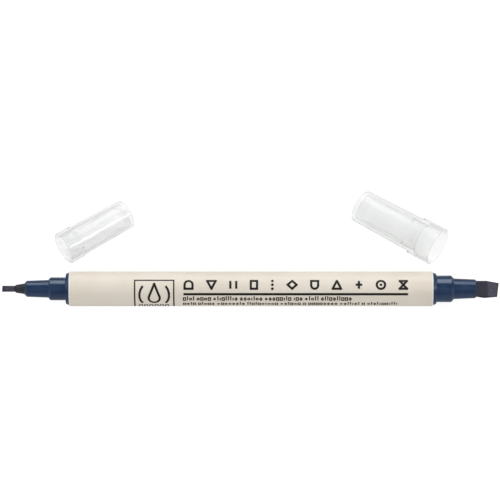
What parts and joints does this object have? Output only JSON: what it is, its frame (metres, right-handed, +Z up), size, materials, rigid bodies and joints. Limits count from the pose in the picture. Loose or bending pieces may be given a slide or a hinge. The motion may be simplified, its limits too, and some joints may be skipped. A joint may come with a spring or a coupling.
{
  "type": "calligraphy marker",
  "caption": "Double-ended calligraphy marker with a fine and a broad chisel nib, its two frosted caps off and lying beside it.",
  "frame": {"origin": "middle of the barrel, on its axis", "axes": "+X along the pen towards the broad nib, +Z up from the table that the pen and caps lie on, +Y towards the side where the caps lie"},
  "size_m": [0.144, 0.0383, 0.0117],
  "materials": {
    "white_tube": "satin extruded plastic",
    "printed_film": "satin printed film",
    "navy_plastic": "semi-gloss moulded plastic",
    "black_plastic": "semi-gloss moulded plastic",
    "inked_fibre": "bonded fibre soaked in dark ink",
    "reservoir_fibre": "fibre rod soaked in ink",
    "clear_film": "clear film",
    "frosted_cap": "translucent frosted plastic",
    "inner_cap_plastic": "translucent natural plastic"
  },
  "bodies": {
    "pen": {"barrel_tube": "white_tube", "printed_sleeve": "printed_film", "fine_section": "navy_plastic", "broad_section": "navy_plastic", "fine_collet": "black_plastic", "fine_nib": "inked_fibre", "broad_nib": "inked_fibre", "ink_reservoir": "reservoir_fibre", "reservoir_wrap": "clear_film"},
    "fine_cap": {"fine_cap_shell": "frosted_cap", "fine_inner_cap": "inner_cap_plastic"},
    "broad_cap": {"broad_cap_shell": "frosted_cap", "broad_inner_cap": "inner_cap_plastic"}
  },
  "joints": [
    {"name": "fine_cap_swing", "type": "hinge", "parent": "pen", "child": "fine_cap", "pos_m": [-0.06374, 0.00344, 0], "axis": [0, 0, 1], "range_deg": [0, 144.4]},
    {"name": "broad_cap_swing", "type": "hinge", "parent": "pen", "child": "broad_cap", "pos_m": [0.06347, 0.00352, 0], "axis": [0, 0, -1], "range_deg": [0, 145.45]}
  ]
}
